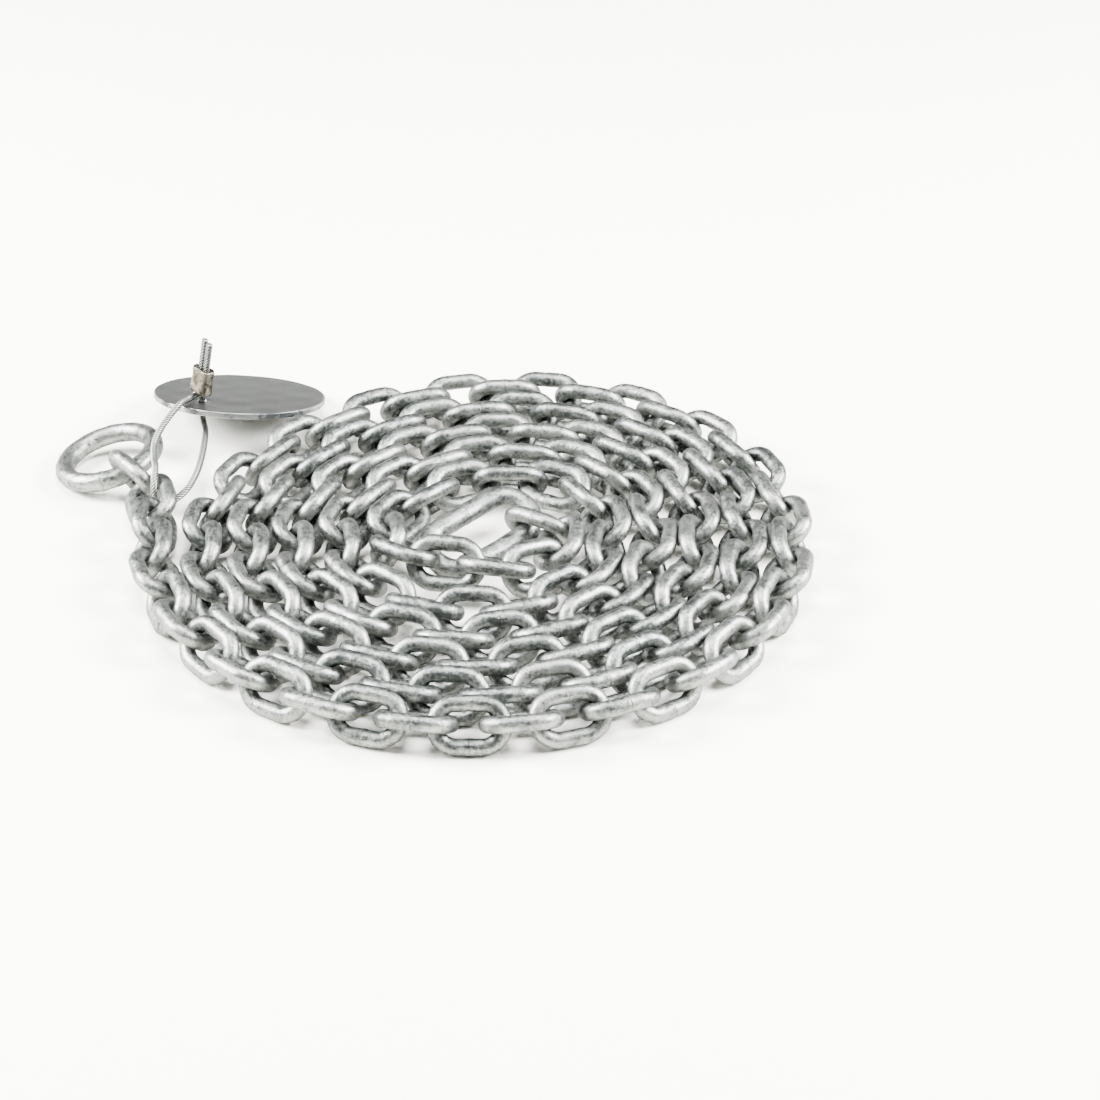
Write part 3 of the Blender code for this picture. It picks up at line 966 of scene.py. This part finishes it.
@dataclass
class EndRing:
    """Round ring through the first link, which raises it on one side.

    Both bearings are in degrees, seen from the ring's middle.
    """

    finish: Material
    outside: float = 58.0 * MM
    rod: float = 10.0 * MM
    raised_at: float = 0.0
    hooked_at: float = -57.0
    hook_gap: float = 0.75 * MM
    lump: float = 0.06 * MM
    weld_bulge: float = 0.3 * MM
    rings: int = 120
    sides: int = 24
    seed: int = 21

    def stance(self, first_link: Stance) -> Stance:
        """Work out where the ring lies.

        The ring's centreline is at a height of r sin(slope) (1 + cos(turn)) above its lowest point,
        with r its radius and turn the angle from the raised side, so the height of the hook gives
        the slope.

        Args:
            first_link: stance of the link that holds it.

        Returns:
            The ring's stance.
        """
        layout = ChainLayout()
        # The solids' own link, before it was moved to even out the joints
        middle = first_link.middle + first_link.along * layout.even_joints
        clear = (layout.rod + self.rod) / 2 + self.hook_gap
        hook = middle - first_link.along * ((layout.length - layout.rod) / 2 - clear)
        radius = (self.outside - self.rod) / 2
        turn = math.radians(self.hooked_at - self.raised_at)
        slope = math.asin((hook[2] - self.rod / 2) / (1 + math.cos(turn)) / radius)
        bearing = math.radians(self.raised_at)
        toward = np.array([math.cos(bearing), math.sin(bearing), 0.0])
        sideways = np.array([-toward[1], toward[0], 0.0])
        toward = toward * math.cos(slope) + np.array([0.0, 0.0, math.sin(slope)])
        rim = (toward * math.cos(turn) + sideways * math.sin(turn)) * radius
        return Stance(hook - rim, toward, sideways)

    def build(self, first_link: Stance) -> None:
        """Make the ring where the first link holds it.

        Args:
            first_link: stance of that link.
        """
        size = (self.outside, self.outside, self.rod, self.rings, self.sides)
        form = RodLoop(*size, lump=self.lump, weld_bulge=self.weld_bulge)
        mesh = mesh_of("round_end_ring", [form.skin(self.stance(first_link), self.seed)])
        place("round_end_ring", mesh, self.finish, Slot.GALVANISED, "end_ring")


@dataclass
class OblongLink:
    """Longer end link at the middle of the coil. Its angles are in degrees."""

    finish: Material
    length: float = 69.2 * MM
    width: float = 37.4 * MM
    rod: float = 10.4 * MM
    middle: tuple[float, float, float] = (-34.4 * MM, -4.7 * MM, 13.2 * MM)
    heading: float = 220.2
    tilt: float = 20.4
    slope: float = 8.0
    lump: float = 0.05 * MM
    rings: int = 110
    sides: int = 24
    seed: int = 33

    def build(self) -> None:
        """Make the link: its length runs down along the heading and its left side is raised."""
        heading, slope, tilt = (math.radians(x) for x in (self.heading, self.slope, self.tilt))
        level = np.array([-math.sin(heading), math.cos(heading), 0.0])
        ahead = np.array([math.cos(heading), math.sin(heading), 0.0])
        length = ahead * math.cos(slope) - np.array([0.0, 0.0, math.sin(slope)])
        across = level * math.cos(tilt) - np.cross(length, level) * math.sin(tilt)
        stance = Stance(np.array(self.middle) + SHIFT, length, across)
        form = RodLoop(self.length, self.width, self.rod, self.rings, self.sides, lump=self.lump)
        mesh = mesh_of("oblong_link", [form.skin(stance, self.seed)])
        place("oblong_link", mesh, self.finish, Slot.GALVANISED, "oblong_end_link")


@dataclass
class DiscTag:
    """Bare round tag with one hole, its back edge on the floor."""

    finish: Material
    diameter: float = 91.0 * MM
    thickness: float = 3.0 * MM
    hole: float = 5.8 * MM
    middle: tuple[float, float, float] = (-165.8 * MM, 129.5 * MM, 14.8 * MM)
    normal: tuple[float, float, float] = (0.06, 0.286, 0.956)
    hole_offset: tuple[float, float] = (-18.0 * MM, -19.2 * MM)
    edge: float = 0.45 * MM
    columns: int = 144
    rings: int = 26
    edge_rings: int = 4
    last_ring: float = 0.98
    dishing: float = 0.05 * MM
    dish_size: float = 22.0 * MM
    seed: int = 5

    def axes(self) -> tuple[Grid, Grid, Grid]:
        """Work out the disc's directions.

        Returns:
            Two at right angles in the face, and the one out of it.
        """
        out = unit(np.array(self.normal))
        side = unit(np.cross(np.array([0.0, 1.0, 0.0]), out))
        return side, np.cross(out, side), out

    def hole_middle(self) -> Grid:
        """Work out the middle of the hole, whose height puts it on the tag's middle plane.

        Returns:
            The point, in the row frame.
        """
        side, up, out = self.axes()
        x, y = self.hole_offset
        z = -(out[0] * x + out[1] * y) / out[2]
        return np.array(self.middle) + np.array([x, y, z]) + SHIFT

    def build(self) -> None:
        """Make the disc.

        Rays leave the hole's middle at even angles. On each, a point's distance is a mix of the
        hole's radius and the distance to the rim, and the profile goes out over the top face,
        round the rim, back under and up the hole's wall. The face is dished by a smooth random
        relief.
        """
        side, up, out = self.axes()
        middle = np.array(self.middle) + SHIFT
        offset = self.hole_middle() - middle
        hx, hy = offset @ side, offset @ up
        angle = np.arange(self.columns) / self.columns * math.tau
        dx, dy = np.cos(angle), np.sin(angle)
        radius = self.diameter / 2
        along = hx * dx + hy * dy
        reach = -along + np.sqrt(along**2 - (hx**2 + hy**2 - radius**2))
        share, pull, height = self.profile()
        near = self.hole / 2
        distance = near + share * (reach - near) + pull
        x = hx + distance * dx
        y = hy + distance * dy
        points = middle + x[..., None] * side + y[..., None] * up + height[..., None] * out
        points = points + (self.dishing * ripple(points, self.dish_size, self.seed))[..., None] * out
        on_rim = np.append((share[:, 0] > self.last_ring).astype(float), 0.0)
        skin = Skin(points, chart(on_rim, np.arange(self.columns + 1) * MM), closed=True)
        place("round_tag", mesh_of("round_tag", [skin]), self.finish, Slot.SHEET, "disc_tag")

    def profile(self) -> tuple[Grid, Grid, Grid]:
        """Section from the hole out over the top face, round the rim and back under.

        Returns:
            The share of the way to the rim, the distance by which the rounded edge is drawn in,
            and the height above the middle plane, each as a column.
        """
        half = self.thickness / 2
        # A last narrow ring keeps the face's shading flat up to its rounded edge
        face = np.append(np.linspace(0, self.last_ring, self.rings - 1), 1.0)
        # The face's own last point is where the rounding starts, so that angle isn't repeated
        turns = np.linspace(0, math.pi / 2, self.edge_rings + 1)[1:]
        share = np.concatenate([face, np.ones_like(turns)])
        pull = self.edge * np.concatenate([-face, np.sin(turns) - 1])
        level = np.full(len(face), half)
        height = np.concatenate([level, half - self.edge + self.edge * np.cos(turns)])
        # The underside is the top side's mirror image, walked back
        share = np.concatenate([share, share[::-1]])
        pull = np.concatenate([pull, pull[::-1]])
        height = np.concatenate([height, -height[::-1]])
        return share[:, None], pull[:, None], height[:, None]


@dataclass
class Ferrule:
    """Crimped sleeve with two rounded barrels side by side, one for each part of the rope."""

    finish: Material
    middle: tuple[float, float, float] = (-182.6 * MM, 110.3 * MM, 35.6 * MM)
    axis: tuple[float, float, float] = (0.17, 0.05, 0.98)
    side: tuple[float, float, float] = (0.68, -0.73, 0.0)
    length: float = 14.0 * MM
    width: float = 12.6 * MM
    thickness: float = 8.4 * MM
    bore: tuple[float, float] = (8.8 * MM, 4.6 * MM)
    rope_spacing: float = 4.0 * MM
    around: int = 64
    power: float = 3.0
    waist: float = 0.2
    bore_waist: float = 0.12
    waist_width: float = 0.17
    crimp: float = 0.05
    crimp_reach: float = 0.34
    # Waves in the whole length, of which the reach keeps the two in the middle
    crimp_waves: int = 3
    crimp_rows: int = 33
    crimp_sideways: float = 0.4
    # Share of the full size just inside each end, and at it
    lips: tuple[float, float] = (0.97, 0.9)
    # Places of the rows, as shares of the length from its middle
    body_end: float = 0.45
    lip_ends: tuple[float, float] = (0.485, 0.5)
    bore_rows: tuple[float, ...] = (0.5, 0.2, -0.2, -0.5)
    dents: float = 0.05 * MM
    dent_size: float = 4.0 * MM
    seed: int = 8

    def axes(self) -> tuple[Grid, Grid, Grid]:
        """Work out the sleeve's directions.

        Returns:
            Those of its length, its width and its thickness.
        """
        length = unit(np.array(self.axis))
        thickness = unit(np.cross(length, np.array(self.side)))
        return length, np.cross(thickness, length), thickness

    def outline(self, width: float, thickness: float, waist: float) -> Grid:
        """Rounded outline, pinched between its two barrels.

        It is a superellipse, whose thickness is less by the waist's share times a bell curve over
        its middle.

        Args:
            width: whole width.
            thickness: whole thickness.
            waist: share of the thickness that the pinch takes off.

        Returns:
            The points, each as its places in the width and the thickness.
        """
        angle = np.arange(self.around) / self.around * math.tau
        c, s = np.cos(angle), np.sin(angle)
        x = width / 2 * np.sign(c) * np.abs(c) ** (2 / self.power)
        y = thickness / 2 * np.sign(s) * np.abs(s) ** (2 / self.power)
        pinch = 1 - waist * np.exp(-((x / (self.waist_width * width)) ** 2))
        return np.column_stack([x, y * pinch])

    def build(self) -> None:
        """Make the sleeve: its outside from bottom to top, then its bore back down.

        The outside is drawn in at both lips, and by waves of a cosine where the tool closed on it:
        fully in the thickness, and by less in the width.
        """
        length, width, thickness = self.axes()
        middle = np.array(self.middle) + SHIFT
        body = np.linspace(-self.body_end, self.body_end, self.crimp_rows)
        inner, outer = self.lip_ends
        share = np.concatenate([[-outer, -inner], body, [inner, outer]])
        wave = (1 - np.cos(share * self.crimp_waves * math.tau)) / 2
        crimp = self.crimp * wave * (np.abs(share) < self.crimp_reach)
        lip = np.ones_like(share)
        lip[[1, -2]], lip[[0, -1]] = self.lips
        wide = self.width * lip * (1 - self.crimp_sideways * crimp)
        thick = self.thickness * lip * (1 - crimp)
        rows = [(at, self.outline(w, t, self.waist)) for at, w, t in zip(share, wide, thick)]
        rows += [(at, self.outline(*self.bore, self.bore_waist)) for at in self.bore_rows]
        grid = np.array([
            middle + length * self.length * at + flat[:, :1] * width + flat[:, 1:] * thickness
            for at, flat in rows
        ])
        grid = grid + self.dents * ripple(grid, self.dent_size, self.seed)[..., None] * thickness
        u, v = (np.arange(count + 1) * MM for count in (len(rows), self.around))
        skin = Skin(grid[:, ::-1], chart(u, v), closed=True)
        mesh = mesh_of("crimped_ferrule", [skin])
        place("crimped_ferrule", mesh, self.finish, Slot.PRESSED, "lanyard_ferrule")


@dataclass
class Lanyard:
    """Wire rope from one cut end through the ferrule, a link and the tag, and back to the other.

    The points of its two legs are in millimetres, in the layout's own frame.
    """

    finish: Material
    ferrule: Ferrule
    tag: DiscTag
    diameter: float = ROPE_DIAMETER
    strands: int = ROPE_STRANDS
    sides_of_strand: int = 8
    groove: float = 0.2
    lay: float = 10.2 * MM
    step: float = 0.3 * MM
    hole_lead: float = 2.0 * MM
    straight_lead: float = 1.2 * MM
    tails: tuple[float, float] = (16.0 * MM, 15.0 * MM)
    left_leg: tuple[tuple[float, float, float], ...] = (
        (-187.5, 109.4, 26.5),
        (-190.0, 102.4, 28.4),
        (-192.4, 92.8, 31.4),
        (-197.0, 82.5, 30.0),
        (-201.0, 73.6, 27.2),
        (-203.0, 61.7, 25.2),
        (-201.8, 49.0, 24.2),
        (-200.2, 39.5, 24.0),
        (-200.3, 31.2, 21.4),
        (-200.2, 27.2, 13.4),
        (-198.2, 27.0, 10.8),
        (-194.0, 28.0, 10.2),
    )
    right_leg: tuple[tuple[float, float, float], ...] = (
        (-188.6, 30.4, 12.2),
        (-184.0, 36.0, 14.4),
        (-181.0, 47.0, 15.6),
        (-179.8, 60.0, 16.0),
        (-179.6, 75.0, 15.8),
        (-180.4, 90.0, 15.4),
        (-182.6, 102.4, 15.6),
    )

    def route(self) -> Grid:
        """Lead the rope from the left tail down through the ferrule, round and up again.

        Returns:
            Points of the route, in the row frame.
        """
        length, width, _ = self.ferrule.axes()
        middle = np.array(self.ferrule.middle) + SHIFT
        half = self.ferrule.length / 2
        left = middle - width * self.ferrule.rope_spacing / 2
        right = middle + width * self.ferrule.rope_spacing / 2
        lift = self.tag.axes()[2] * self.hole_lead
        hole = self.tag.hole_middle()
        points = [left + length * (half + self.tails[0]), left + length * half]
        points += [left, left - length * half, left - length * (half + self.straight_lead)]
        points += list(np.array(self.left_leg + self.right_leg) * MM + SHIFT)
        points += [hole - lift, hole + lift]
        points += [right - length * (half + self.straight_lead), right - length * half]
        points += [right, right + length * half, right + length * (half + self.tails[1])]
        return np.array(points)

    def even(self, points: Grid, step: float) -> Grid:
        """Even out the points of a line, by their distances along it.

        Args:
            points: the line's points.
            step: distance wanted between two of them.

        Returns:
            Points along the same line, with a whole number of equal steps.
        """
        gone = np.concatenate([[0], np.cumsum(np.linalg.norm(np.diff(points, axis=0), axis=1))])
        at = np.linspace(0, gone[-1], int(gone[-1] / step) + 1)
        return np.column_stack([np.interp(at, gone, points[:, k]) for k in range(3)])

    def build(self) -> None:
        """The cross-section is a circle with a rounded ridge for each strand, r (1 - d (1 - |cos|)),
        where the cosine's period is two strands and d is the grooves' depth. It turns once in each
        lay along the path, on axes that follow the path without twisting.
        """
        path = self.even(smooth_route(self.route(), per_span=16), self.step)
        tangent = unit(np.gradient(path, axis=0))
        normal = np.zeros_like(path)
        here = unit(np.cross(tangent[0], np.array([0.0, 1.0, 0.0])))
        for k, ahead in enumerate(tangent):
            here = unit(here - ahead * (here @ ahead))
            normal[k] = here
        # Angles run from the normal to this, which is what turns the faces outwards
        binormal = np.cross(normal, tangent)
        around = self.strands * self.sides_of_strand
        angle = np.arange(around) / around * math.tau
        ridge = np.abs(np.cos(angle * self.strands / 2))
        radius = self.diameter / 2 * (1 - self.groove * (1 - ridge))
        s = np.arange(len(path)) * self.step
        turn = angle[None, :] - (s / self.lay * math.tau)[:, None]
        ring = normal[:, None] * np.cos(turn)[..., None] + binormal[:, None] * np.sin(turn)[..., None]
        points = path[:, None] + ring * radius[None, :, None]
        v = np.arange(around + 1) / around * math.tau * self.diameter / 2
        skin = Skin(points, chart(s, v), closed=False)
        mesh = mesh_of("wire_rope_lanyard", [skin])
        rope = place("wire_rope_lanyard", mesh, self.finish, Slot.ROPE, "lanyard_wire")


def main(cad_box: tuple[Vector, Vector]) -> None:
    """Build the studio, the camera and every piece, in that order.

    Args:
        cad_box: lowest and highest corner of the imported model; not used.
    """
    logging.basicConfig(level=logging.INFO, format="%(message)s")
    Camera().build()
    Studio().build()
    zinc = HotDipZinc().material()
    tag = DiscTag(RolledSheet().material())
    ferrule = Ferrule(PressedAluminium().material())
    Lanyard(DrawnWire().material(), ferrule, tag).build()
    tag.build()
    ferrule.build()
    chain = Chain(zinc)
    chain.build()
    EndRing(zinc).build(chain.layout.stances()[0])
    OblongLink(zinc).build()


if __name__ == "__main__":
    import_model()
    main(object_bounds())
